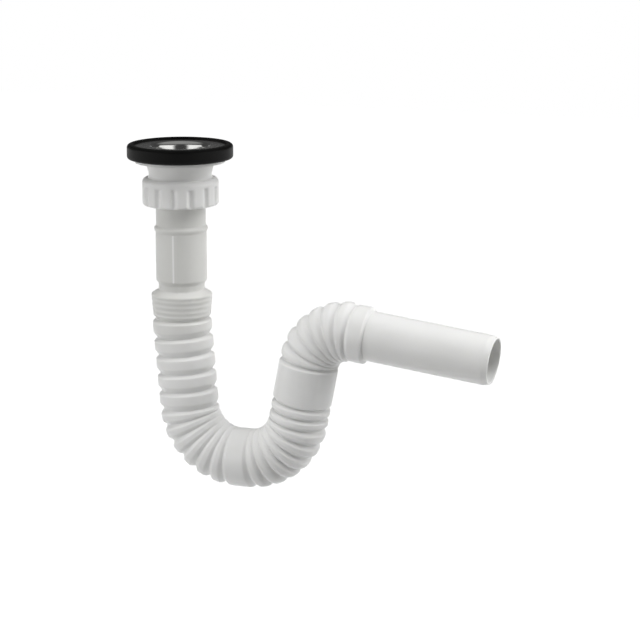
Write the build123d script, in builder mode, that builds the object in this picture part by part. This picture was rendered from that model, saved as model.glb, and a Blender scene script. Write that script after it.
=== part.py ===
"""Corrugated basin trap: a clamped basin waste, a slip nut and a blown bellows hose.

The waste stands on the Z axis and its basin clamping plane is Z = 0. The hose
runs in the XZ plane, down from the waste, round a U-bend and out towards +X.
"""

import os

from build123d import *

# Basin clamp: two rubber gaskets that meet at Z = 0
rim_radius = 34.0
rim_gasket_height = 4.0
rim_rounding = 2.2
lip_thickness = 1.0
lip_width = 1.8
edge_wall = 2.4
seat_gasket_thickness = 5.4
seat_rounding = 1.8

# Strainer cup, pressed from stainless sheet
sheet = 0.8
bowl_radius = 17.8
bowl_depth = 9.5
bowl_draft = 1.6
shoulder_radius = 2.4
floor_radius = 3.0
slot_count = 6
slot_width = 3.4
slot_circle = 10.2
slot_angle = 34.0

# Strainer screw and its brass insert
screw_radius = 3.0
screw_length = 16.0
screw_head_radius = 5.4
screw_head_height = 2.6
screw_slot_width = 1.3
screw_slot_depth = 1.2
insert_radius = 4.2
insert_length = 10.0

# Waste body, moulded in one with its spider
body_flange_radius = 29.0
body_flange_thickness = 2.2
mouth_wall = 3.8
mouth_depth = 4.6
funnel_height = 8.8
funnel_fall = 1.9
relief_height = 1.8
thread_length = 12.6
socket_wall = 4.55
socket_depth = 8.7
socket_shoulder = 1.6
socket_chamfer = 2.2
spider_arms = 4
arm_width = 2.0
arm_height = 7.0
boss_wall = 1.8
boss_rise = 1.6
boss_floor = 1.4

# Slip nut and its tapered washer
nut_wall = 3.35
nut_height = 17.6
nut_lip = 3.0
nut_shoulder = 3.2
nut_band = 5.4
nut_bevel = 1.2
nut_grooves = 14
groove_depth = 0.9
groove_radius = 2.2
washer_base = 1.3
washer_nose = 0.6

# Hose section
neck_radius = 16.1
neck_wall = 2.0
bead_radius = 17.3
waist_radius = 16.5
groove_bottom_radius = 15.0
collar_radius = 19.9
collar_end_radius = 18.8
crest_radius = 19.2
root_radius = 16.6
bellows_wall = 1.2
sleeve_radius = 19.2
cuff_radius = 18.4
tail_groove_radius = 15.4
tail_radius = 16.0
tail_wall = 2.0
tail_chamfer = 1.0

# Hose lengths along its centreline
neck_reach = 16.1
flare_length = 6.0
bead_width = 1.4
waist_length = 31.2
waist_shoulder = 4.0
neck_groove_width = 4.0
collar_bevel = 3.0
collar_length = 13.6
collar_fall = 2.4
leg_length = 54.0
flat_length = 8.0
wide_length = 17.0
riser_bellows = 13.0
sleeve_length = 27.9
sleeve_bevel = 2.0
cuff_length = 11.0
tail_groove_width = 1.6
tail_length = 81.0
tail_lead = 4.0

# Hose bends, in degrees and millimetres
leg_lean = 4.7
lean_radius = 60.0
bend_radius = 34.2
riser_lean = 10.9
top_radius = 26.2
tail_fall = 6.9

# Convolutions of each stretch, and the shares of a pitch that its flanks take
leg_count = 5
heel_count = 6
toe_count = 8
top_count = 6
leg_flanks = (0.16, 0.32)
bend_flanks = (0.28, 0.28)
wide_flanks = (0.14, 0.14)

# Clearances
flange_clearance = 0.1
bowl_clearance = 0.6
gasket_clearance = 0.4
screw_clearance = 0.05
screw_passage = 0.6
insert_clearance = 0.05
neck_clearance = 0.3
end_play = 0.3
thread_clearance = 0.3
washer_clearance = 0.3
washer_bore_clearance = 0.15
lip_clearance = 0.5

# Radii that fit one piece to the next
cup_flange_radius = rim_radius - edge_wall
mouth_radius = bowl_radius + bowl_clearance
gasket_bore = bowl_radius + shoulder_radius + gasket_clearance
cup_radius = mouth_radius + mouth_wall
funnel_end_radius = cup_radius - funnel_fall
socket_radius = neck_radius + neck_clearance
waterway_radius = socket_radius - socket_shoulder
thread_radius = socket_radius + socket_wall
boss_radius = insert_radius + boss_wall
nut_bore = thread_radius + thread_clearance
nut_radius = nut_bore + nut_wall
nut_lip_bore = neck_radius + lip_clearance
washer_bore = neck_radius + washer_bore_clearance
washer_radius = nut_bore - washer_clearance
tail_bore = tail_radius - tail_wall

# Heights, from the clamping plane downwards
cup_flange_z = rim_gasket_height - lip_thickness - sheet
cup_floor_z = cup_flange_z + sheet - bowl_depth
body_top_z = -seat_gasket_thickness
flange_bottom_z = body_top_z - body_flange_thickness
mouth_floor_z = body_top_z - mouth_depth
funnel_bottom_z = flange_bottom_z - funnel_height
thread_top_z = funnel_bottom_z - relief_height
body_end_z = thread_top_z - thread_length
socket_top_z = body_end_z + socket_depth
boss_top_z = mouth_floor_z + boss_rise
boss_bottom_z = boss_top_z - insert_length - boss_floor
nut_seat_z = body_end_z - washer_base
nut_bottom_z = nut_seat_z - nut_lip
nut_top_z = nut_bottom_z + nut_height
neck_top_z = socket_top_z - end_play
bead_z = nut_bottom_z - neck_reach

os.makedirs("parts", exist_ok=True)

# Rim gasket: a rubber ring with a lip over the edge of the cup
with BuildPart() as rim_gasket:
    with BuildSketch(Plane.XZ):
        with BuildLine():
            Polyline(
                (gasket_bore, 0),
                (rim_radius, 0),
                (rim_radius, rim_gasket_height),
                (cup_flange_radius - lip_width, rim_gasket_height),
                (cup_flange_radius - lip_width, rim_gasket_height - lip_thickness),
                (cup_flange_radius + flange_clearance, rim_gasket_height - lip_thickness),
                (cup_flange_radius + flange_clearance, cup_flange_z),
                (gasket_bore, cup_flange_z),
                close=True,
            )
        make_face()
    revolve(axis=Axis.Z)
    outer_edges = rim_gasket.edges().filter_by(GeomType.CIRCLE).sort_by(SortBy.RADIUS)[-2:]
    fillet(outer_edges.sort_by(Axis.Z)[-1], radius=rim_rounding)
rim_gasket.part.label = "rim_gasket"
export_step(rim_gasket.part, "parts/rim_gasket.step")

# Seat gasket: a flat rubber washer between the basin and the waste body
with BuildPart() as seat_gasket:
    with BuildSketch(Plane.XY.offset(body_top_z)):
        Circle(rim_radius)
        Circle(gasket_bore, mode=Mode.SUBTRACT)
    extrude(amount=seat_gasket_thickness)
    lower_edges = seat_gasket.faces().sort_by(Axis.Z)[0].edges()
    fillet(lower_edges.sort_by(SortBy.RADIUS)[-1], radius=seat_rounding)
seat_gasket.part.label = "seat_gasket"
export_step(seat_gasket.part, "parts/seat_gasket.step")

# Strainer cup: a dished sheet with a wide flange and drain slots round its screw
with BuildPart() as strainer_cup:
    with BuildSketch(Plane.XZ):
        with BuildLine():
            FilletPolyline(
                (0, cup_floor_z),
                (bowl_radius - bowl_draft, cup_floor_z),
                (bowl_radius, cup_flange_z),
                (cup_flange_radius, cup_flange_z),
                radius=(floor_radius, shoulder_radius),
            )
            offset(amount=sheet, side=Side.LEFT)
        make_face()
    revolve(axis=Axis.Z)
    with BuildSketch(Plane.XY.offset(cup_floor_z)):
        Circle(screw_radius + screw_passage)
        with PolarLocations(0, slot_count):
            SlotArc(CenterArc((0, 0), slot_circle, -slot_angle / 2, slot_angle), slot_width)
    extrude(amount=sheet, mode=Mode.SUBTRACT)
strainer_cup.part.label = "strainer_cup"
export_step(strainer_cup.part, "parts/strainer_cup.step")

# Strainer screw: a slotted pan head on the cup floor, with its shank in the insert
screw_seat_z = cup_floor_z + sheet
with BuildPart() as strainer_screw:
    with BuildSketch(Plane.XY.offset(screw_seat_z)):
        Circle(screw_head_radius)
    extrude(amount=screw_head_height)
    fillet(strainer_screw.faces().sort_by(Axis.Z)[-1].edges(), radius=screw_head_height / 2)
    with BuildSketch(Plane.XY.offset(screw_seat_z + screw_head_height)):
        Rectangle(2 * screw_head_radius, screw_slot_width)
    extrude(amount=-screw_slot_depth, mode=Mode.SUBTRACT)
    with BuildSketch(Plane.XY.offset(screw_seat_z)):
        Circle(screw_radius)
    extrude(amount=-screw_length)
    chamfer(strainer_screw.faces().sort_by(Axis.Z)[0].edges(), length=screw_radius / 4)
strainer_screw.part.label = "strainer_screw"
export_step(strainer_screw.part, "parts/strainer_screw.step")

# Insert nut: a brass bush in the boss of the spider
with BuildPart() as insert_nut:
    with BuildSketch(Plane.XY.offset(boss_top_z - insert_length)):
        Circle(insert_radius)
        Circle(screw_radius + screw_clearance, mode=Mode.SUBTRACT)
    extrude(amount=insert_length)
insert_nut.part.label = "insert_nut"
export_step(insert_nut.part, "parts/insert_nut.step")

# Waste body: flange, funnel, threaded socket and the spider that holds the insert
with BuildPart() as waste_body:
    with BuildSketch(Plane.XZ):
        with BuildLine():
            Polyline(
                (cup_radius, flange_bottom_z),
                (body_flange_radius, flange_bottom_z),
                (body_flange_radius, body_top_z),
                (mouth_radius, body_top_z),
                (mouth_radius, mouth_floor_z),
                (waterway_radius, mouth_floor_z),
                (waterway_radius, socket_top_z),
                (socket_radius, socket_top_z),
                (socket_radius, body_end_z + socket_chamfer),
                (socket_radius + socket_chamfer, body_end_z),
                (thread_radius, body_end_z),
                (thread_radius, thread_top_z),
                (funnel_end_radius, funnel_bottom_z),
            )
            Spline(
                (funnel_end_radius, funnel_bottom_z),
                (cup_radius, flange_bottom_z),
                tangents=((0, 1), (funnel_fall, funnel_height)),
            )
        make_face()
    revolve(axis=Axis.Z)
    with BuildSketch(Plane.XY.offset(mouth_floor_z)):
        with PolarLocations(0, spider_arms):
            Rectangle(
                waterway_radius + socket_shoulder / 2,
                arm_width,
                align=(Align.MIN, Align.CENTER),
            )
    extrude(amount=-arm_height)
    with BuildSketch(Plane.XY.offset(boss_bottom_z)):
        Circle(boss_radius)
    extrude(amount=boss_top_z - boss_bottom_z)
    with BuildSketch(Plane.XY.offset(boss_top_z)):
        Circle(insert_radius + insert_clearance)
    extrude(amount=-insert_length, mode=Mode.SUBTRACT)
    with BuildSketch(Plane.XY.offset(boss_bottom_z)):
        Circle(screw_radius + screw_passage)
    extrude(amount=boss_floor, mode=Mode.SUBTRACT)
waste_body.part.label = "waste_body"
export_step(waste_body.part, "parts/waste_body.step")

# Tapered washer: a flat base on the lip of the nut and a cone in the socket's mouth
cone_radius = socket_radius + socket_chamfer - washer_clearance
nose_radius = washer_bore + washer_nose
with BuildPart() as tapered_washer:
    with BuildSketch(Plane.XZ):
        with BuildLine():
            Polyline(
                (washer_bore, nut_seat_z),
                (washer_radius, nut_seat_z),
                (washer_radius, body_end_z),
                (cone_radius, body_end_z),
                (nose_radius, body_end_z + cone_radius - nose_radius),
                (washer_bore, body_end_z + cone_radius - nose_radius),
                close=True,
            )
        make_face()
    revolve(axis=Axis.Z)
tapered_washer.part.label = "tapered_washer"
export_step(tapered_washer.part, "parts/tapered_washer.step")

# Slip nut: a grooved ring with a rounded shoulder and an inward lip below
with BuildPart() as slip_nut:
    with BuildSketch(Plane.XZ):
        with BuildLine():
            Polyline(
                (nut_radius, nut_top_z - nut_shoulder),
                (nut_radius, nut_bottom_z + nut_bevel),
                (nut_radius - nut_bevel, nut_bottom_z),
                (nut_lip_bore, nut_bottom_z),
                (nut_lip_bore, nut_seat_z),
                (nut_bore, nut_seat_z),
                (nut_bore, nut_top_z),
                (nut_radius - nut_shoulder, nut_top_z),
            )
            RadiusArc(
                (nut_radius - nut_shoulder, nut_top_z),
                (nut_radius, nut_top_z - nut_shoulder),
                nut_shoulder,
            )
        make_face()
    revolve(axis=Axis.Z)
    with BuildSketch(Plane.XY.offset(nut_top_z - nut_band)):
        with PolarLocations(nut_radius + groove_radius - groove_depth, nut_grooves):
            Circle(groove_radius)
    extrude(amount=-nut_height, mode=Mode.SUBTRACT)
slip_nut.part.label = "slip_nut"
export_step(slip_nut.part, "parts/slip_nut.step")

# Centreline of the hose, from the top of its neck to the open end of its tail
neck_length = (
    neck_top_z - bead_z + waist_length + waist_shoulder + neck_groove_width
    + collar_bevel + collar_length + collar_fall
)
riser_length = riser_bellows + sleeve_length
outlet_length = cuff_length + tail_groove_width + tail_length
with BuildLine(Plane.XZ) as centreline:
    neck_run = Line((0, neck_top_z), (0, neck_top_z - neck_length))
    lean_arc = JernArc(neck_run @ 1, neck_run % 1, lean_radius, leg_lean)
    leg_run = PolarLine(lean_arc @ 1, leg_length, direction=lean_arc % 1)
    heel_arc = JernArc(leg_run @ 1, leg_run % 1, bend_radius, 90 - leg_lean)
    flat_run = PolarLine(heel_arc @ 1, flat_length, direction=heel_arc % 1)
    toe_arc = JernArc(flat_run @ 1, flat_run % 1, bend_radius, 90 - riser_lean)
    riser_run = PolarLine(toe_arc @ 1, riser_length, direction=toe_arc % 1)
    top_arc = JernArc(riser_run @ 1, riser_run % 1, top_radius, riser_lean - 90 - tail_fall)
    outlet_run = PolarLine(top_arc @ 1, outlet_length, direction=top_arc % 1)


def convolutions(start, length, count, flanks, inset):
    """Stations of a run of convolutions, each at a distance along the hose with a radius.

    A crest has a flat band, and where the inset leaves little of it, a single ridge.
    """
    pitch = length / count
    stations = []
    for number in range(count):
        root = start + number * pitch
        crest_start = root + flanks[0] * pitch + inset / 2
        crest_end = root + (1 - flanks[1]) * pitch - inset / 2
        stations.append((root, root_radius - inset))
        if crest_end - crest_start > 2 * inset:
            stations.append((crest_start, crest_radius - inset))
            stations.append((crest_end, crest_radius - inset))
        else:
            stations.append(((crest_start + crest_end) / 2, crest_radius - inset))
    return stations


def bellows(inset):
    """Stations of all convolutions, set in from the outer face by the wall."""
    leg_start = neck_length
    heel_start = leg_start + lean_arc.length + leg_run.length
    wide_start = heel_start + heel_arc.length + (flat_length - wide_length) / 2
    toe_start = wide_start + wide_length
    sleeve_start = outlet_start - top_arc.length - sleeve_length
    top_start = sleeve_start + sleeve_length
    return (
        convolutions(leg_start, heel_start - leg_start, leg_count, leg_flanks, inset)
        + convolutions(heel_start, wide_start - heel_start, heel_count, bend_flanks, inset)
        + convolutions(wide_start, wide_length, 1, wide_flanks, inset)
        + convolutions(toe_start, sleeve_start - toe_start, toe_count, bend_flanks, inset)
        + [
            (sleeve_start, root_radius - inset),
            (sleeve_start + sleeve_bevel, sleeve_radius - inset),
            (top_start - sleeve_bevel, sleeve_radius - inset),
        ]
        + convolutions(top_start, top_arc.length, top_count, bend_flanks, inset)
    )


def section_plane(distance):
    """Plane across the hose at a distance along its centreline."""
    return Plane(
        origin=centreline_wire.position_at(distance, PositionMode.LENGTH),
        x_dir=(0, 1, 0),
        z_dir=centreline_wire.tangent_at(distance, PositionMode.LENGTH),
    )


centreline_wire = centreline.wire()
outlet_start = centreline_wire.length - outlet_length
bead = neck_top_z - bead_z
waist_end = bead + waist_length
groove_start = waist_end + waist_shoulder
groove_end = groove_start + neck_groove_width
collar_start = groove_end + collar_bevel
collar_end = collar_start + collar_length
cuff_end = outlet_start + cuff_length
tail_start = cuff_end + tail_groove_width
tail_end = centreline_wire.length

hose_face = [
    (0, neck_radius),
    (bead - flare_length, neck_radius),
    (bead - bead_width, bead_radius),
    (bead, bead_radius),
    (bead + bead_width, waist_radius),
    (waist_end, waist_radius),
    (groove_start, groove_bottom_radius),
    (groove_end, groove_bottom_radius),
    (collar_start, collar_radius),
    (collar_end, collar_end_radius),
    *bellows(0),
    (outlet_start, root_radius),
    (outlet_start + sleeve_bevel, cuff_radius),
    (cuff_end, cuff_radius),
    (cuff_end + tail_groove_width / 2, tail_groove_radius),
    (tail_start, tail_radius),
    (tail_end - tail_lead, tail_radius),
    (tail_end, tail_radius - tail_chamfer),
]
hose_bore = [
    (0, neck_radius - neck_wall),
    (waist_end, neck_radius - neck_wall),
    (groove_start, groove_bottom_radius - bellows_wall),
    (groove_end, groove_bottom_radius - bellows_wall),
    (collar_start + bellows_wall / 2, collar_radius - bellows_wall),
    (collar_end - bellows_wall / 2, collar_end_radius - bellows_wall),
    *bellows(bellows_wall),
    (outlet_start, root_radius - bellows_wall),
    (outlet_start + sleeve_bevel, tail_bore),
    (tail_end, tail_bore),
]

# Trap hose: neck, bellows and tail, blown in one piece with an even wall
with BuildPart() as trap_hose:
    for distance, radius in hose_face:
        with BuildSketch(section_plane(distance)):
            Circle(radius)
    loft(ruled=True)
    for distance, radius in hose_bore:
        with BuildSketch(section_plane(distance)):
            Circle(radius)
    loft(ruled=True, mode=Mode.SUBTRACT)
trap_hose.part.label = "trap_hose"
export_step(trap_hose.part, "parts/trap_hose.step")
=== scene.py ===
import math

import bmesh
import bpy
import numpy as np
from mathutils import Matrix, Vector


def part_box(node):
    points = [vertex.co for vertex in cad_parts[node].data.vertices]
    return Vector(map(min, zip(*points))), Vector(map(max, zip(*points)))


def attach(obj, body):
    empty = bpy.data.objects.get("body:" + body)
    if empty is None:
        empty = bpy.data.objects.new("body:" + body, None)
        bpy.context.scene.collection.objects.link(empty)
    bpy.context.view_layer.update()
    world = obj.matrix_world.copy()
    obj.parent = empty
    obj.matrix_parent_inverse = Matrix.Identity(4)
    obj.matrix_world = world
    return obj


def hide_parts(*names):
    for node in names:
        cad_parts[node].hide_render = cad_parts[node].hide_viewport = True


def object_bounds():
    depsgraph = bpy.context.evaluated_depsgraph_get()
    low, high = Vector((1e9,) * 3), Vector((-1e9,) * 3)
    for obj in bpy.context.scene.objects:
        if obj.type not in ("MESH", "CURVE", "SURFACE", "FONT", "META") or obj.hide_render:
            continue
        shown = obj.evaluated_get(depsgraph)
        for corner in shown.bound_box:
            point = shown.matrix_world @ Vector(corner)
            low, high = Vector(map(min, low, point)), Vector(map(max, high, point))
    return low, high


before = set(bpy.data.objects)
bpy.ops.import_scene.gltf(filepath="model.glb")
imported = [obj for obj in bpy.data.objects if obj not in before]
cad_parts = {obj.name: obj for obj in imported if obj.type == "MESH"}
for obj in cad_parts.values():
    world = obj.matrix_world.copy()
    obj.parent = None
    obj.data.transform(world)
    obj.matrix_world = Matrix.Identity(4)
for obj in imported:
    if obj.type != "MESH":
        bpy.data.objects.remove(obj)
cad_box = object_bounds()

# Waste body: the white fitting that hangs under the basin, with a flange, a funnel, a threaded
# socket and a spider inside. It is injection moulded polypropylene, drawn up by the strainer
# screw, and the turned brass bush in its boss takes that screw.


def linear(hex_colour):
    """Linear colour of an sRGB hex value."""
    parts = [int(hex_colour[i:i + 2], 16) / 255 for i in (1, 3, 5)]
    return [p / 12.92 if p <= 0.04045 else ((p + 0.055) / 1.055) ** 2.4 for p in parts] + [1.0]


def add_node(tree, kind, inputs=None, **settings):
    """Adds a node with its settings, and sets its inputs or links them to sockets or nodes."""
    node = tree.nodes.new(kind)
    for name, value in settings.items():
        setattr(node, name, value)
    for name, value in (inputs or {}).items():
        value = value.outputs[0] if isinstance(value, bpy.types.Node) else value
        if isinstance(value, bpy.types.NodeSocket):
            tree.links.new(value, node.inputs[name])
        else:
            node.inputs[name].default_value = value
    return node


mm = 0.001


def per_mm(size_mm):
    """Noise scale that gives features of about this size on coordinates in metres."""
    return 1.0 / (size_mm * mm)


# Moulded polypropylene is bright, faintly waxy and lets a little light through, with a soft
# sheen over a fine orange peel. The peel is drawn coarser than the real one, so that it shows.
def moulded_polypropylene(name, pale, shade, peel_mm, peel_depth_mm, glow_mm):
    """White polypropylene, whose Bump node carries its relief in millimetres."""
    material = bpy.data.materials.new(name)
    material.use_nodes = True
    tree = material.node_tree
    shader = tree.nodes["Principled BSDF"]
    place = add_node(tree, "ShaderNodeTexCoord").outputs["Object"]
    cloud = add_node(tree, "ShaderNodeTexNoise", {"Vector": place, "Scale": per_mm(22), "Detail": 2.0})
    tone = add_node(tree, "ShaderNodeMix", {
        "Factor": cloud.outputs["Fac"], "A": linear(shade), "B": linear(pale)}, data_type="RGBA")
    sheen = add_node(tree, "ShaderNodeTexNoise", {"Vector": place, "Scale": per_mm(5), "Detail": 3.0})
    gloss = add_node(tree, "ShaderNodeMapRange", {
        "Value": sheen.outputs["Fac"], "To Min": 0.28, "To Max": 0.42})
    peel = add_node(tree, "ShaderNodeTexNoise", {"Vector": place, "Scale": per_mm(peel_mm), "Detail": 1.0})
    relief = add_node(tree, "ShaderNodeMath", {
        0: peel.outputs["Fac"], 1: peel_depth_mm}, operation="MULTIPLY")
    bump = add_node(tree, "ShaderNodeBump", {"Height": relief, "Strength": 1.0, "Distance": mm})
    tree.links.new(tone.outputs["Result"], shader.inputs["Base Color"])
    tree.links.new(gloss.outputs["Result"], shader.inputs["Roughness"])
    tree.links.new(bump.outputs["Normal"], shader.inputs["Normal"])
    shader.inputs["IOR"].default_value = 1.49
    shader.inputs["Subsurface Weight"].default_value = 0.6
    shader.inputs["Subsurface Radius"].default_value = (1.0, 1.0, 0.95)
    shader.inputs["Subsurface Scale"].default_value = glow_mm * mm
    return material


def dress(node_name, material):
    """Gives a node of the frame its material."""
    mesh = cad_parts[node_name].data
    mesh.materials.clear()
    mesh.materials.append(material)


body_polypropylene = moulded_polypropylene(
    "moulded_polypropylene_waste_body", "#E9E9E8", "#E0E0DE", 0.9, 0.012, 0.6)
# The socket's thread, a round-topped helix that the slip nut runs on
thread_pitch = 2.309 * mm
thread_rise_mm = 0.7
thread_length = 12.6 * mm
thread_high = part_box("waste_body")[0].z + thread_length
thread_inside = 20.6 * mm
body_tree = body_polypropylene.node_tree
body_bump = body_tree.nodes["Bump"]
body_place = add_node(body_tree, "ShaderNodeTexCoord").outputs["Object"]
body_axes = add_node(body_tree, "ShaderNodeSeparateXYZ", {0: body_place})
thread_angle = add_node(body_tree, "ShaderNodeMath", {
    0: body_axes.outputs["Y"], 1: body_axes.outputs["X"]}, operation="ARCTAN2")
thread_turns = add_node(body_tree, "ShaderNodeMath", {
    0: body_axes.outputs["Z"], 1: thread_pitch}, operation="DIVIDE")
thread_wind = add_node(body_tree, "ShaderNodeMath", {
    0: thread_turns, 1: math.tau, 2: thread_angle}, operation="MULTIPLY_ADD")
thread_wave = add_node(body_tree, "ShaderNodeMath", {0: thread_wind}, operation="SINE")
thread_flat = add_node(body_tree, "ShaderNodeVectorMath", {
    0: body_place, 1: (1, 1, 0)}, operation="MULTIPLY")
thread_reach = add_node(body_tree, "ShaderNodeVectorMath", {0: thread_flat}, operation="LENGTH")
thread_outside = add_node(body_tree, "ShaderNodeMath", {
    0: thread_reach.outputs["Value"], 1: thread_inside}, operation="GREATER_THAN")
thread_below = add_node(body_tree, "ShaderNodeMath", {
    0: body_axes.outputs["Z"], 1: thread_high}, operation="LESS_THAN")
thread_band = add_node(body_tree, "ShaderNodeMath", {
    0: thread_outside, 1: thread_below}, operation="MULTIPLY")
thread_relief = add_node(body_tree, "ShaderNodeMath", {
    0: thread_wave, 1: thread_band}, operation="MULTIPLY")
body_relief = add_node(body_tree, "ShaderNodeMath", {
    0: thread_relief, 1: thread_rise_mm / 2, 2: body_bump.inputs["Height"].links[0].from_socket},
    operation="MULTIPLY_ADD")
body_tree.links.new(body_relief.outputs[0], body_bump.inputs["Height"])
dress("waste_body", body_polypropylene)

# Turned brass is warm and bright, with fine rings left by the tool
turned_brass = bpy.data.materials.new("turned_brass")
turned_brass.use_nodes = True
brass_tree = turned_brass.node_tree
brass_shader = brass_tree.nodes["Principled BSDF"]
brass_place = add_node(brass_tree, "ShaderNodeTexCoord").outputs["Object"]
brass_stretch = add_node(brass_tree, "ShaderNodeMapping", {"Vector": brass_place, "Scale": (0.1, 0.1, 1.0)})
brass_lines = add_node(brass_tree, "ShaderNodeTexNoise", {
    "Vector": brass_stretch, "Scale": per_mm(0.4), "Detail": 2.0})
brass_tone = add_node(brass_tree, "ShaderNodeMix", {
    "Factor": brass_lines.outputs["Fac"], "A": linear("#B08A45"), "B": linear("#CBA65A")}, data_type="RGBA")
brass_gloss = add_node(brass_tree, "ShaderNodeMapRange", {
    "Value": brass_lines.outputs["Fac"], "To Min": 0.22, "To Max": 0.38})
brass_tree.links.new(brass_tone.outputs["Result"], brass_shader.inputs["Base Color"])
brass_tree.links.new(brass_gloss.outputs["Result"], brass_shader.inputs["Roughness"])
brass_shader.inputs["Metallic"].default_value = 1.0
dress("insert_nut", turned_brass)

# Seat gasket and rim gasket: two black rubber rings that close on the basin's floor, the lower
# a flat washer and the upper with a lip that wraps the edge of the strainer cup. They are
# compression moulded and soft.

# Moulded rubber is near black, with a satin skin, a grey bloom in patches and a fine grain
moulded_rubber = bpy.data.materials.new("moulded_black_rubber")
moulded_rubber.use_nodes = True
rubber_tree = moulded_rubber.node_tree
rubber_shader = rubber_tree.nodes["Principled BSDF"]
rubber_place = add_node(rubber_tree, "ShaderNodeTexCoord").outputs["Object"]
rubber_bloom = add_node(rubber_tree, "ShaderNodeTexNoise", {
    "Vector": rubber_place, "Scale": per_mm(9), "Detail": 4.0})
rubber_tone = add_node(rubber_tree, "ShaderNodeMix", {
    "Factor": rubber_bloom.outputs["Fac"], "A": linear("#040404"), "B": linear("#0C0C0B")}, data_type="RGBA")
rubber_gloss = add_node(rubber_tree, "ShaderNodeMapRange", {
    "Value": rubber_bloom.outputs["Fac"], "To Min": 0.36, "To Max": 0.52})
rubber_grain = add_node(rubber_tree, "ShaderNodeTexNoise", {
    "Vector": rubber_place, "Scale": per_mm(0.6), "Detail": 2.0})
rubber_bump = add_node(rubber_tree, "ShaderNodeBump", {
    "Height": rubber_grain.outputs["Fac"], "Strength": 1.0, "Distance": 0.03 * mm})
rubber_tree.links.new(rubber_tone.outputs["Result"], rubber_shader.inputs["Base Color"])
rubber_tree.links.new(rubber_gloss.outputs["Result"], rubber_shader.inputs["Roughness"])
rubber_tree.links.new(rubber_bump.outputs["Normal"], rubber_shader.inputs["Normal"])
rubber_shader.inputs["IOR"].default_value = 1.52
rubber_shader.inputs["Specular IOR Level"].default_value = 0.08
dress("seat_gasket", moulded_rubber)
dress("rim_gasket", moulded_rubber)

# Strainer cup and its screw: a stainless steel pressing that lies in the basin's drain hole,
# spun and polished, and an M6 screw that draws it down on the rim gasket.

# Polished stainless steel is a clear grey mirror, with faint rings from the polishing wheel and
# soft smears where it was handled
polished_steel = bpy.data.materials.new("polished_stainless_steel")
polished_steel.use_nodes = True
steel_tree = polished_steel.node_tree
steel_shader = steel_tree.nodes["Principled BSDF"]
steel_place = add_node(steel_tree, "ShaderNodeTexCoord").outputs["Object"]
steel_flat = add_node(steel_tree, "ShaderNodeVectorMath", {
    0: steel_place, 1: (1, 1, 0)}, operation="MULTIPLY")
steel_reach = add_node(steel_tree, "ShaderNodeVectorMath", {0: steel_flat}, operation="LENGTH")
steel_rings = add_node(steel_tree, "ShaderNodeTexNoise", {
    "W": steel_reach.outputs["Value"], "Scale": per_mm(0.7), "Detail": 3.0}, noise_dimensions="1D")
steel_smear = add_node(steel_tree, "ShaderNodeTexNoise", {
    "Vector": steel_place, "Scale": per_mm(14), "Detail": 3.0})
steel_tone = add_node(steel_tree, "ShaderNodeMix", {
    "Factor": steel_smear.outputs["Fac"], "A": linear("#B4B4B2"), "B": linear("#CDCDCB")}, data_type="RGBA")
steel_polish = add_node(steel_tree, "ShaderNodeMapRange", {
    "Value": steel_smear.outputs["Fac"], "To Min": 0.06, "To Max": 0.16})
steel_gloss = add_node(steel_tree, "ShaderNodeMath", {
    0: steel_rings.outputs["Fac"], 1: 0.08, 2: steel_polish.outputs["Result"]}, operation="MULTIPLY_ADD")
steel_tree.links.new(steel_tone.outputs["Result"], steel_shader.inputs["Base Color"])
steel_tree.links.new(steel_gloss.outputs[0], steel_shader.inputs["Roughness"])
steel_shader.inputs["Metallic"].default_value = 1.0
dress("strainer_cup", polished_steel)
dress("strainer_screw", polished_steel)

# Tapered washer: the sealing cone between the slip nut and the socket, moulded in natural
# polyethylene, which is waxy, softer and a little yellower than the fittings.
waxy_polyethylene = moulded_polypropylene(
    "moulded_polyethylene_washer", "#E9E7DF", "#DEDBD0", 1.6, 0.02, 3.0)
dress("tapered_washer", waxy_polyethylene)

# Slip nut: the ring that draws the hose and its washer up to the socket, with a plain rounded
# band above and fourteen finger grooves below. It is injection moulded polypropylene.
station_values = ("tilt", "along", "radius", "fold", "squeeze", "spread", "groove")


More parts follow.
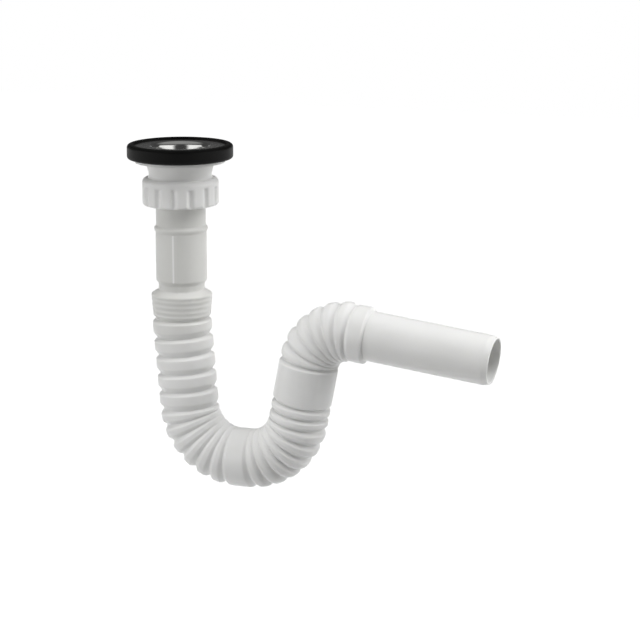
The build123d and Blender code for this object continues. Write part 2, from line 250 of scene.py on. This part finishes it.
def ring_tree(name):
    """Node tree that hangs a ring on every station and joins the rings into a closed skin."""
    tree = bpy.data.node_groups.new(name, "GeometryNodeTree")
    for title, kind in (("Stations", "Geometry"), ("Segments", "Int"), ("Groove Count", "Int"),
                        ("Groove Depth", "Float"), ("Groove Share", "Float"), ("Groove Turn", "Float"),
                        ("Material", "Material")):
        tree.interface.new_socket(title, in_out="INPUT", socket_type="NodeSocket" + kind)
    tree.interface.new_socket("Skin", in_out="OUTPUT", socket_type="NodeSocketGeometry")
    given = add_node(tree, "NodeGroupInput").outputs
    count = add_node(tree, "GeometryNodeAttributeDomainSize", {"Geometry": given["Stations"]})
    # A grid with a row for every station, closed on itself both ways
    rows = add_node(tree, "ShaderNodeMath", {0: count, 1: 1.0}, operation="ADD")
    columns = add_node(tree, "ShaderNodeMath", {0: given["Segments"], 1: 1.0}, operation="ADD")
    grid = add_node(tree, "GeometryNodeMeshGrid", {"Vertices X": rows, "Vertices Y": columns})
    index = add_node(tree, "GeometryNodeInputIndex")
    middle = add_node(tree, "ShaderNodeMath", {0: index, 1: 0.5}, operation="ADD")
    lines = add_node(tree, "ShaderNodeMath", {0: middle, 1: columns}, operation="DIVIDE")
    row = add_node(tree, "ShaderNodeMath", {0: lines}, operation="FLOOR")
    station = add_node(tree, "ShaderNodeMath", {0: row, 1: count}, operation="MODULO")
    passed = add_node(tree, "ShaderNodeMath", {0: row, 1: columns}, operation="MULTIPLY")
    column = add_node(tree, "ShaderNodeMath", {0: index, 1: passed}, operation="SUBTRACT")
    around = add_node(tree, "ShaderNodeMath", {0: column, 1: given["Segments"]}, operation="DIVIDE")
    angle = add_node(tree, "ShaderNodeMath", {0: around, 1: math.tau}, operation="MULTIPLY")
    across = add_node(tree, "ShaderNodeMath", {0: angle}, operation="COSINE")
    sideways = add_node(tree, "ShaderNodeMath", {0: angle}, operation="SINE")
    place = add_node(tree, "GeometryNodeInputPosition")
    centre = add_node(tree, "GeometryNodeSampleIndex", {
        "Geometry": given["Stations"], "Value": place, "Index": station}, data_type="FLOAT_VECTOR")
    kept = {}
    for title in station_values:
        value = add_node(tree, "GeometryNodeInputNamedAttribute", {"Name": title}, data_type="FLOAT")
        kept[title] = add_node(tree, "GeometryNodeSampleIndex", {
            "Geometry": given["Stations"], "Value": value, "Index": station}, data_type="FLOAT")
    # A bend closes the folds towards its inner side
    lean = add_node(tree, "ShaderNodeMath", {
        0: across, 1: kept["squeeze"], 2: kept["spread"]}, operation="MULTIPLY_ADD")
    inner = add_node(tree, "ShaderNodeMath", {0: lean, 1: 0.0}, operation="MAXIMUM")
    folded = add_node(tree, "ShaderNodeMath", {
        0: inner, 1: kept["fold"], 2: kept["radius"]}, operation="MULTIPLY_ADD")
    # A groove is a raised cosine across its share of the space between grooves
    shifted = add_node(tree, "ShaderNodeMath", {0: around, 1: given["Groove Turn"]}, operation="SUBTRACT")
    turns = add_node(tree, "ShaderNodeMath", {0: shifted, 1: given["Groove Count"]}, operation="MULTIPLY")
    part = add_node(tree, "ShaderNodeMath", {0: turns, 1: 0.5, 2: -0.5}, operation="WRAP")
    off = add_node(tree, "ShaderNodeMath", {0: part}, operation="ABSOLUTE")
    spaced = add_node(tree, "ShaderNodeMath", {0: off, 1: given["Groove Share"]}, operation="DIVIDE")
    edged = add_node(tree, "ShaderNodeMath", {0: spaced, 1: 0.5}, operation="MINIMUM")
    phase = add_node(tree, "ShaderNodeMath", {0: edged, 1: math.tau}, operation="MULTIPLY")
    wave = add_node(tree, "ShaderNodeMath", {0: phase}, operation="COSINE")
    dip = add_node(tree, "ShaderNodeMath", {0: wave, 1: 0.5, 2: 0.5}, operation="MULTIPLY_ADD")
    deep = add_node(tree, "ShaderNodeMath", {
        0: given["Groove Depth"], 1: kept["groove"]}, operation="MULTIPLY")
    cut = add_node(tree, "ShaderNodeMath", {0: dip, 1: deep}, operation="MULTIPLY")
    radius = add_node(tree, "ShaderNodeMath", {0: folded, 1: cut}, operation="SUBTRACT")
    # Each ring stands square to the path, whose tilt is about the Y axis
    spoke = add_node(tree, "ShaderNodeCombineXYZ", {"X": 0.0, "Y": sideways, "Z": across})
    turned = add_node(tree, "ShaderNodeVectorRotate", {
        "Vector": spoke, "Angle": kept["tilt"]}, rotation_type="Y_AXIS")
    reach = add_node(tree, "ShaderNodeVectorMath", {0: turned, "Scale": radius}, operation="SCALE")
    spot = add_node(tree, "ShaderNodeVectorMath", {0: centre, 1: reach}, operation="ADD")
    # Both measures are kept on the corners, so that the seam's own values aren't averaged
    turn = add_node(tree, "GeometryNodeFieldOnDomain", {
        "Value": around}, data_type="FLOAT", domain="POINT")
    length = add_node(tree, "GeometryNodeFieldOnDomain", {
        "Value": kept["along"]}, data_type="FLOAT", domain="POINT")
    counted = add_node(tree, "GeometryNodeStoreNamedAttribute", {
        "Geometry": grid, "Name": "around", "Value": turn}, data_type="FLOAT", domain="CORNER")
    measured = add_node(tree, "GeometryNodeStoreNamedAttribute", {
        "Geometry": counted, "Name": "along", "Value": length}, data_type="FLOAT", domain="CORNER")
    moved = add_node(tree, "GeometryNodeSetPosition", {"Geometry": measured, "Position": spot})
    closed = add_node(tree, "GeometryNodeMergeByDistance", {"Geometry": moved, "Distance": 1e-6})
    smooth = add_node(tree, "GeometryNodeSetShadeSmooth", {"Geometry": closed})
    real = add_node(tree, "GeometryNodeRealizeInstances", {"Geometry": smooth})
    dressed = add_node(tree, "GeometryNodeSetMaterial", {"Geometry": real, "Material": given["Material"]})
    add_node(tree, "NodeGroupOutput", {"Skin": dressed})
    return tree


def ring_piece(name, stations, segments, material, grooves):
    """Plain mesh piece from stations, in metres and radians, that the ring tree skins."""
    mesh = bpy.data.meshes.new(name + "_stations")
    mesh.from_pydata([(station["x"], 0.0, station["z"]) for station in stations], [], [])
    for title in station_values:
        mesh.attributes.new(title, "FLOAT", "POINT").data.foreach_set(
            "value", [station.get(title, 0.0) for station in stations])
    source = bpy.data.objects.new(name + "_stations", mesh)
    bpy.context.scene.collection.objects.link(source)
    modifier = source.modifiers.new("rings", "NODES")
    modifier.node_group = rings
    sockets = {item.name: item.identifier for item in rings.interface.items_tree if item.in_out == "INPUT"}
    modifier[sockets["Segments"]] = segments
    for title, value in zip(("Groove Count", "Groove Depth", "Groove Share", "Groove Turn"), grooves):
        modifier[sockets[title]] = value
    modifier[sockets["Material"]] = material
    evaluated = source.evaluated_get(bpy.context.evaluated_depsgraph_get())
    skin = bpy.data.meshes.new_from_object(evaluated)
    bpy.data.objects.remove(source)
    shell = bmesh.new()
    shell.from_mesh(skin)
    bmesh.ops.recalc_face_normals(shell, faces=shell.faces)
    shell.to_mesh(skin)
    shell.free()
    piece = bpy.data.objects.new(name, skin)
    bpy.context.scene.collection.objects.link(piece)
    return piece


rings = ring_tree("rings_on_stations")
nut_low, nut_high = (corner.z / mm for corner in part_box("slip_nut"))
nut_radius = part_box("slip_nut")[1].x / mm
nut_bore = 21.25
nut_lip_bore = 16.6
# The lip stays a hair below the washer, so that the two only rest on each other
nut_lip = 2.95
nut_shoulder = 3.2
nut_band = 4.6
nut_bevel = 1.2
nut_grooves = 14
groove_depth = 1.5
groove_width = 6.0
groove_run_out = 1.2
groove_segments = 18
section_step = 0.8
corner_points = 7
# Corners of the nut's section: radius, height and how far the mould rounds them
nut_corners = [
    (nut_radius, nut_high, nut_shoulder), (nut_radius, nut_low + nut_bevel, 0.6),
    (nut_radius - nut_bevel, nut_low, 0.5), (nut_lip_bore, nut_low, 0.3),
    (nut_lip_bore, nut_low + nut_lip, 0.3), (nut_bore, nut_low + nut_lip, 0.2), (nut_bore, nut_high, 0.06),
]


def rounded_section(corners, longest):
    """Points of a closed section whose corners are rounded, with no step over the longest."""
    points = []
    for before, corner, after in zip(corners[-1:] + corners[:-1], corners, corners[1:] + corners[:1]):
        here = np.array(corner[:2])
        sides = [np.array(other[:2]) - here for other in (before, after)]
        ways = [side / np.linalg.norm(side) for side in sides]
        half = math.acos(np.clip(ways[0] @ ways[1], -1, 1)) / 2
        middle = here + (ways[0] + ways[1]) / np.linalg.norm(ways[0] + ways[1]) * corner[2] / math.sin(half)
        ends = [here + way * corner[2] / math.tan(half) - middle for way in ways]
        for share in np.linspace(0, 1, corner_points):
            spoke = ends[0] * (1 - share) + ends[1] * share
            points.append(middle + spoke / np.linalg.norm(spoke) * corner[2])
    section = []
    for start, stop in zip(points, points[1:] + points[:1]):
        steps = max(1, math.ceil(np.linalg.norm(stop - start) / longest))
        section.extend(start + (stop - start) * step / steps for step in range(steps))
    return section


nut_stations = []
for radius, height in rounded_section(nut_corners, section_step):
    deep = min(max((nut_high - nut_band - height) / groove_run_out, 0.0), 1.0)
    proud = min(max((radius - nut_radius + nut_bevel) / nut_bevel, 0.0), 1.0)
    nut_stations.append({"x": 0.0, "z": height * mm, "tilt": math.pi / 2, "radius": radius * mm,
                         "along": (nut_high - height) * mm, "groove": deep * deep * (3 - 2 * deep) * proud})
nut_polypropylene = moulded_polypropylene(
    "moulded_polypropylene_nut", "#E9E9E8", "#E0E0DE", 0.9, 0.012, 0.6)
groove_share = groove_width * nut_grooves / (math.tau * nut_radius)
grooved_nut = ring_piece("grooved_nut", nut_stations, nut_grooves * groove_segments, nut_polypropylene,
                         (nut_grooves, groove_depth * mm, groove_share, 0.0))
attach(grooved_nut, "nut")
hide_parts("slip_nut")

# Trap hose: neck, bellows and tail in one piece, extruded as a tube of polypropylene and blown
# out in a corrugated mould, then bent by hand into the U that holds the water seal.
neck_radius = 16.1
bead_radius = 17.3
waist_radius = 16.5
groove_bottom_radius = 15.0
collar_radius = 19.9
collar_end_radius = 18.8
crest_radius = 19.2
root_radius = 16.6
sleeve_radius = 19.2
cuff_radius = 18.4
tail_groove_radius = 15.4
tail_radius = 16.0
neck_wall = 2.0
bellows_wall = 1.2
tail_wall = 2.0
tail_chamfer = 1.0
tail_lead = 4.0
edge_rounding = 0.45
edge_samples = 9
bead = 28.8
flare_length = 2.8
bead_width = 1.4
waist_length = 32.8
waist_shoulder = 2.4
neck_groove_width = 4.0
collar_bevel = 3.0
collar_length = 13.6
collar_fall = 2.4
leg_length = 54.0
flat_length = 8.0
wide_length = 17.0
riser_bellows = 13.0
sleeve_length = 27.9
sleeve_bevel = 2.0
cuff_length = 11.0
tail_groove_width = 1.6
tail_length = 81.0
leg_lean = 4.7
lean_radius = 60.0
bend_radius = 34.2
riser_lean = 10.9
top_radius = 26.2
tail_fall = 6.9
leg_count = 5
heel_count = 6
toe_count = 8
top_count = 6
leg_flanks = (0.16, 0.32)
bend_flanks = (0.28, 0.28)
wide_flanks = (0.14, 0.14)

neck_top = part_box("trap_hose")[1].z / mm
waist_end = bead + waist_length
groove_start = waist_end + waist_shoulder
groove_end = groove_start + neck_groove_width
collar_start = groove_end + collar_bevel
collar_end = collar_start + collar_length
neck_length = collar_end + collar_fall
# Each run of the centreline: its length, and the turn in degrees that it makes
runs = [
    (neck_length, 0.0),
    (lean_radius * math.radians(leg_lean), leg_lean),
    (leg_length, 0.0),
    (bend_radius * math.radians(90 - leg_lean), 90 - leg_lean),
    (flat_length, 0.0),
    (bend_radius * math.radians(90 - riser_lean), 90 - riser_lean),
    (riser_bellows + sleeve_length, 0.0),
    (top_radius * math.radians(90 - riser_lean + tail_fall), riser_lean - 90 - tail_fall),
    (cuff_length + tail_groove_width + tail_length, 0.0),
]
run_ends = np.cumsum([length for length, turn in runs])
leg_start, heel_start = run_ends[0], run_ends[2]
wide_start = run_ends[3] + (flat_length - wide_length) / 2
toe_start = wide_start + wide_length
outlet_start, tail_end = run_ends[7], run_ends[8]
riser_start, top_start = run_ends[5], run_ends[6]
sleeve_start = top_start - sleeve_length
cuff_end = outlet_start + cuff_length
tail_start = cuff_end + tail_groove_width


def centreline(distance):
    """Place and heading, in degrees, at a distance along the hose."""
    x, z, heading, done = 0.0, neck_top, -90.0, 0.0
    for length, turn in runs:
        part = min(max(distance - done, 0.0), length)
        bend = turn * part / length
        half_bend = math.radians(bend / 2)
        chord = part * math.sin(half_bend) / half_bend if half_bend else part
        way = math.radians(heading) + half_bend
        x += chord * math.cos(way)
        z += chord * math.sin(way)
        heading += bend
        done += length
    return x, z, heading


def convolutions(start, length, count, flanks, inset):
    """Knots of a run of convolutions: a root, and both edges of the crest."""
    pitch = length / count
    knots = []
    for number in range(count):
        root = start + number * pitch
        knots.append((root, root_radius - inset))
        knots.append((root + flanks[0] * pitch + inset / 2, crest_radius - inset))
        knots.append((root + (1 - flanks[1]) * pitch - inset / 2, crest_radius - inset))
    return knots


def bellows(inset):
    """Knots of the bellows and of the plain sleeve between its bends."""
    return (
        convolutions(leg_start, heel_start - leg_start, leg_count, leg_flanks, inset)
        + convolutions(heel_start, wide_start - heel_start, heel_count, bend_flanks, inset)
        + convolutions(wide_start, wide_length, 1, wide_flanks, inset)
        + convolutions(toe_start, sleeve_start - toe_start, toe_count, bend_flanks, inset)
        + [(sleeve_start, root_radius - inset), (sleeve_start + sleeve_bevel, sleeve_radius - inset),
           (top_start - sleeve_bevel, sleeve_radius - inset)]
        + convolutions(top_start, outlet_start - top_start, top_count, bend_flanks, inset)
        + [(outlet_start, root_radius - inset)]
    )


# How far each bend closes its inner folds, and on which side, along the hose. The closing sets
# in a little before the bend and is full a little after its start.
bend_lead, bend_full = 6, 10
top_lead, top_full = 2, 8
bend_shares = [
    (heel_start - bend_lead, 0.0), (heel_start + bend_full, 1.0),
    (riser_start - bend_full, 1.0), (riser_start + bend_lead, 0.0),
    (top_start - top_lead, 0.0), (top_start + top_full, -1.0),
    (outlet_start - top_full, -1.0), (outlet_start + top_lead, 0.0),
]
face_knots = [
    (0, neck_radius), (bead - flare_length, neck_radius), (bead - bead_width, bead_radius),
    (bead, bead_radius), (bead + bead_width, waist_radius), (waist_end, waist_radius),
    (groove_start, groove_bottom_radius), (groove_end, groove_bottom_radius),
    (collar_start, collar_radius), (collar_end, collar_end_radius), *bellows(0),
    (outlet_start + sleeve_bevel, cuff_radius), (cuff_end, cuff_radius),
    (cuff_end + tail_groove_width / 2, tail_groove_radius), (tail_start, tail_radius),
    (tail_end - tail_lead, tail_radius), (tail_end, tail_radius - tail_chamfer),
]
bore_knots = [
    (0, neck_radius - neck_wall), (waist_end, neck_radius - neck_wall),
    (groove_start, groove_bottom_radius - bellows_wall), (groove_end, groove_bottom_radius - bellows_wall),
    (collar_start + bellows_wall / 2, collar_radius - bellows_wall),
    (collar_end - bellows_wall / 2, collar_end_radius - bellows_wall), *bellows(bellows_wall),
    (outlet_start + sleeve_bevel, tail_radius - tail_wall), (tail_end, tail_radius - tail_wall),
]


def rounded_radius(knots, distances):
    """Radius along the hose, with every edge of the profile eased by the mould's rounding."""
    spread = np.linspace(-edge_rounding, edge_rounding, edge_samples)
    known = np.array(knots)
    return np.mean([np.interp(distances + shift, known[:, 0], known[:, 1]) for shift in spread], axis=0)


# Rings lie close together on the folds and edges, and wide apart on the plain stretches
plain_step = 1.5
bead_step = 0.35
fold_step = 0.42
lead_rings = 12
bead_low, bead_high = bead - 4, bead + 3
cuff_start = outlet_start + sleeve_bevel
lead_start = tail_end - tail_lead - 1
face_distances = np.concatenate([
    np.arange(0, bead_low, plain_step), np.arange(bead_low, bead_high, bead_step),
    np.arange(bead_high, waist_end - 1, plain_step), np.arange(waist_end - 1, cuff_start, fold_step),
    np.arange(cuff_start, cuff_end - 1, plain_step), np.arange(cuff_end - 1, tail_start + 1, fold_step),
    np.arange(tail_start + 1, lead_start, plain_step), np.linspace(lead_start, tail_end, lead_rings)])
neck_bore_step = 2.5
bellows_bore_step = 1.1
tail_bore_step = 3.0
bore_distances = np.concatenate([
    np.arange(0, leg_start, neck_bore_step), np.arange(leg_start, outlet_start, bellows_bore_step),
    np.arange(outlet_start, tail_end, tail_bore_step), [tail_end]])[::-1]
distances = np.concatenate([face_distances, bore_distances])
# Fine rings round the collar, as the mould was turned
ring_pitch = 3.4
ring_depth = 0.22
ring_wave = 0.5 - 0.5 * np.cos(math.tau * (face_distances - collar_start) / ring_pitch)
ring_part = np.clip(np.minimum(face_distances - collar_start, collar_end - face_distances), 0.0, 1.0)
radii = np.concatenate([
    rounded_radius(face_knots, face_distances) - ring_depth * ring_wave * ring_part,
    rounded_radius(bore_knots, bore_distances)])

# The mould's two parting lines are low ridges down the plain part of the neck
hose_segments = 72
parting_lines = 2
parting_turn = 55 / hose_segments
parting_rise = 0.4
parting_share = 2 * parting_lines / hose_segments
parting_mark = 0.9
parting_start = bead + 2
# The hose's white is a little paler than the fittings', painted light for what comes through its thin blown
# wall
blown_polypropylene = moulded_polypropylene(
    "blown_polypropylene_hose", "#F0F0EF", "#E8E8E6", 1.4, 0.02, 1.2)
# The neck is painted a shade darker than the bellows, a painted shade for its thick wall letting less light
# through than the thin bellows, and it fades into them
neck_fade = 30
hose_tree = blown_polypropylene.node_tree
hose_along = add_node(hose_tree, "ShaderNodeAttribute", attribute_name="along").outputs["Fac"]
hose_shader = hose_tree.nodes["Principled BSDF"]
neck_far = add_node(hose_tree, "ShaderNodeMapRange", {
    "Value": hose_along, "From Min": collar_start * mm, "From Max": (leg_start + neck_fade) * mm},
    interpolation_type="SMOOTHSTEP")
painted_neck_shade = add_node(hose_tree, "ShaderNodeMix", {
    "Factor": neck_far, "A": linear("#ECECEA"), "B": linear("#FFFFFF")}, data_type="RGBA")
hose_tone = add_node(hose_tree, "ShaderNodeMix", {
    "Factor": 1.0, "A": hose_shader.inputs["Base Color"].links[0].from_socket,
    "B": painted_neck_shade.outputs["Result"]}, data_type="RGBA", blend_type="MULTIPLY")
# Each parting line is painted a little paler along its top, a painted highlight where its low ridge catches
# the light
hose_around = add_node(hose_tree, "ShaderNodeAttribute", attribute_name="around").outputs["Fac"]
parting_side = add_node(hose_tree, "ShaderNodeMath", {
    0: hose_around, 1: parting_turn}, operation="SUBTRACT")
parting_wrap = add_node(hose_tree, "ShaderNodeMath", {
    0: parting_side, 1: 0.5 / parting_lines, 2: -0.5 / parting_lines}, operation="WRAP")
parting_far = add_node(hose_tree, "ShaderNodeMath", {0: parting_wrap}, operation="ABSOLUTE")
parting_line = add_node(hose_tree, "ShaderNodeMapRange", {
    "Value": parting_far, "From Max": parting_mark / (math.tau * waist_radius), "To Min": 1.0, "To Max": 0.0})
parting_below = add_node(hose_tree, "ShaderNodeMath", {
    0: hose_along, 1: parting_start * mm}, operation="GREATER_THAN")
parting_above = add_node(hose_tree, "ShaderNodeMath", {
    0: hose_along, 1: waist_end * mm}, operation="LESS_THAN")
parting_waist = add_node(hose_tree, "ShaderNodeMath", {
    0: parting_below, 1: parting_above}, operation="MULTIPLY")
parting_painted_highlight = add_node(hose_tree, "ShaderNodeMath", {
    0: parting_line, 1: parting_waist}, operation="MULTIPLY")
parting_highlight_tone = add_node(hose_tree, "ShaderNodeMix", {
    "Factor": parting_painted_highlight, "A": hose_tone.outputs["Result"], "B": linear("#FAFAF9")}, data_type="RGBA")
hose_tree.links.new(parting_highlight_tone.outputs["Result"], hose_shader.inputs["Base Color"])

# Share of a fold that closes at the middle of a bend's inner side, and how far round it reaches
inner_closing = 0.9
inner_spread = 0.35
hose_stations = []
for number, (distance, radius) in enumerate(zip(distances, radii)):
    x, z, heading = centreline(distance)
    face = number < len(face_distances)
    folded = face and leg_start < distance < outlet_start
    bend = np.interp(distance, *zip(*bend_shares))
    hose_stations.append({
        "x": x * mm, "z": z * mm, "tilt": -math.radians(heading),
        "radius": radius * mm, "along": distance * mm,
        "fold": max(crest_radius - radius, 0.0) * mm * inner_closing / (1 + inner_spread) if folded else 0.0,
        "squeeze": bend, "spread": abs(bend) * inner_spread,
        "groove": 1.0 if face and parting_start < distance < waist_end else 0.0})
blown_hose = ring_piece("blown_hose", hose_stations, hose_segments, blown_polypropylene,
                        (parting_lines, -parting_rise * mm, parting_share, parting_turn))
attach(blown_hose, "hose")
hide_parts("trap_hose")

# Floor: a plain pale sheet well below the trap, which hangs by its clamp. It is white to the
# camera and to reflections, and takes the trap's shadow.
floor_drop = 0.55
floor_size = 12.0
floor_mesh = bpy.data.meshes.new("floor")
floor_level = cad_box[0][2] - floor_drop
half = floor_size / 2
floor_corners = [(-half, -half), (half, -half), (half, half), (-half, half)]
floor_mesh.from_pydata([(x, y, floor_level) for x, y in floor_corners], [], [(0, 1, 2, 3)])
floor = bpy.data.objects.new("floor", floor_mesh)
bpy.context.scene.collection.objects.link(floor)
paper = bpy.data.materials.new("white_paper_floor")
paper.use_nodes = True
paper_tree = paper.node_tree
paper_shader = paper_tree.nodes["Principled BSDF"]
paper_shader.inputs["Base Color"].default_value = linear("#DADADA")
paper_shader.inputs["Roughness"].default_value = 0.9
paper_glow = 0.95
paper_path = add_node(paper_tree, "ShaderNodeLightPath")
paper_mirrored = add_node(paper_tree, "ShaderNodeMath", {
    0: paper_path.outputs["Is Glossy Ray"], 1: paper_path.outputs["Is Transmission Ray"]},
    operation="MAXIMUM")
paper_seen = add_node(paper_tree, "ShaderNodeMath", {
    0: paper_path.outputs["Is Camera Ray"], 1: paper_mirrored}, operation="MAXIMUM")
paper_lift = add_node(paper_tree, "ShaderNodeMath", {0: paper_seen, 1: paper_glow}, operation="MULTIPLY")
paper_light = add_node(paper_tree, "ShaderNodeEmission", {"Color": (1, 1, 1, 1), "Strength": paper_lift})
paper_sum = add_node(paper_tree, "ShaderNodeAddShader", {0: paper_shader, 1: paper_light})
paper_tree.links.new(paper_sum.outputs[0], paper_tree.nodes["Material Output"].inputs["Surface"])
floor_mesh.materials.append(paper)

# Light: a dim white room and four softboxes, one on each side, a large one above and a small one
# above the camera, as for a catalogue picture. The camera sees plain white, and what reflects
# sees white lower walls, two bright side panels and a grey ceiling.
view_azimuth = math.radians(20.0)
view_elevation = math.radians(12.45)
world = bpy.data.worlds.new("white_room")
bpy.context.scene.world = world
world.use_nodes = True
world_tree = world.node_tree
room = world_tree.nodes["Background"]
room.inputs["Color"].default_value = (1, 1, 1, 1)
far_glow, near_glow = 0.16, 0.035
wall_white, wall_shade = 1.0, 0.08
panel_white = 1.65
ceiling_grey = 0.42
room_way = add_node(world_tree, "ShaderNodeTexCoord").outputs["Generated"]
room_side = add_node(world_tree, "ShaderNodeVectorMath", {
    0: room_way, 1: (math.sin(view_azimuth), -math.cos(view_azimuth), 0.0)},
    operation="DOT_PRODUCT").outputs["Value"]
room_height = add_node(world_tree, "ShaderNodeSeparateXYZ", {0: room_way}).outputs["Z"]
room_glow = add_node(world_tree, "ShaderNodeMapRange", {
    "Value": room_side, "From Min": 0.0, "From Max": 1.0, "To Min": far_glow, "To Max": near_glow})
world_tree.links.new(room_glow.outputs["Result"], room.inputs["Strength"])
paper_white = add_node(world_tree, "ShaderNodeBackground", {"Color": (1, 1, 1, 1), "Strength": 1.0})
walls = add_node(world_tree, "ShaderNodeMapRange", {
    "Value": room_height, "From Min": 0.0, "From Max": 0.1, "To Min": wall_white, "To Max": wall_shade})
panel_front = add_node(world_tree, "ShaderNodeMapRange", {
    "Value": room_side, "From Min": 0.76, "From Max": 0.9, "To Min": panel_white, "To Max": 0.0})
panel_back = add_node(world_tree, "ShaderNodeMapRange", {
    "Value": room_side, "From Min": -0.4, "From Max": -0.25})
panel_sides = add_node(world_tree, "ShaderNodeMath", {0: panel_front, 1: panel_back}, operation="MULTIPLY")
panel_top = add_node(world_tree, "ShaderNodeMapRange", {
    "Value": room_height, "From Min": 0.35, "From Max": 0.5, "To Min": 1.0, "To Max": 0.0})
panels = add_node(world_tree, "ShaderNodeMath", {0: panel_sides, 1: panel_top}, operation="MULTIPLY")
ceiling = add_node(world_tree, "ShaderNodeMapRange", {
    "Value": room_height, "From Min": 0.5, "From Max": 0.8, "To Min": 0.0, "To Max": ceiling_grey})
reflected_sides = add_node(world_tree, "ShaderNodeMath", {0: walls, 1: panels}, operation="MAXIMUM")
reflected = add_node(world_tree, "ShaderNodeMath", {0: reflected_sides, 1: ceiling}, operation="MAXIMUM")
reflected_room = add_node(world_tree, "ShaderNodeBackground", {"Color": (1, 1, 1, 1), "Strength": reflected})
world_path = add_node(world_tree, "ShaderNodeLightPath")
world_seen = add_node(world_tree, "ShaderNodeMath", {
    0: world_path.outputs["Is Camera Ray"], 1: world_path.outputs["Is Transmission Ray"]},
    operation="MAXIMUM")
world_gloss = add_node(world_tree, "ShaderNodeMixShader", {
    0: world_path.outputs["Is Glossy Ray"], 1: room, 2: reflected_room})
world_mix = add_node(world_tree, "ShaderNodeMixShader", {
    0: world_seen, 1: world_gloss, 2: paper_white})
world_tree.links.new(world_mix.outputs[0], world_tree.nodes["World Output"].inputs["Surface"])

middle = [(low + high) / 2 for low, high in zip(*cad_box)]
lamp_distance = 1.2


def softbox(name, azimuth, elevation, width, height, watts):
    """Area lamp that faces the middle of the trap, at angles counted from the camera's azimuth."""
    turn = view_azimuth + math.radians(azimuth)
    rise = math.radians(elevation)
    back = (math.sin(turn) * math.cos(rise), -math.cos(turn) * math.cos(rise), math.sin(rise))
    lamp = bpy.data.lights.new(name, "AREA")
    lamp.shape = "RECTANGLE"
    lamp.size = width
    lamp.size_y = height
    lamp.energy = watts
    holder = bpy.data.objects.new(name, lamp)
    holder.location = [m + lamp_distance * b for m, b in zip(middle, back)]
    holder.rotation_euler = (math.pi / 2 - rise, 0.0, turn)
    bpy.context.scene.collection.objects.link(holder)
    return holder


for name, azimuth, elevation, width, height, watts in (
        ("left_softbox", -65, 8, 1.0, 1.2, 6.6), ("right_softbox", 85, 26, 1.0, 1.2, 11.5),
        ("top_softbox", 0, 84, 2.0, 0.9, 5.0), ("front_softbox", 0, 62, 0.6, 0.6, 5.2)):
    softbox(name, azimuth, elevation, width, height, watts).visible_glossy = False

# Camera: the photograph's view, from slightly above and a little to the outlet's side, with a
# long lens that was fitted to the photograph's outline.
camera = bpy.data.cameras.new("camera")
camera.sensor_width = 36.0
camera.lens = 129.4
view_distance = 1.46
aim = (0.09514, 0.0, -0.10424)
eye_way = (math.sin(view_azimuth) * math.cos(view_elevation),
           -math.cos(view_azimuth) * math.cos(view_elevation), math.sin(view_elevation))
viewer = bpy.data.objects.new("camera", camera)
viewer.location = [a + view_distance * e for a, e in zip(aim, eye_way)]
viewer.rotation_euler = (math.pi / 2 - view_elevation, 0.0, view_azimuth)
bpy.context.scene.collection.objects.link(viewer)
bpy.context.scene.camera = viewer
bpy.context.scene.view_settings.view_transform = "Standard"
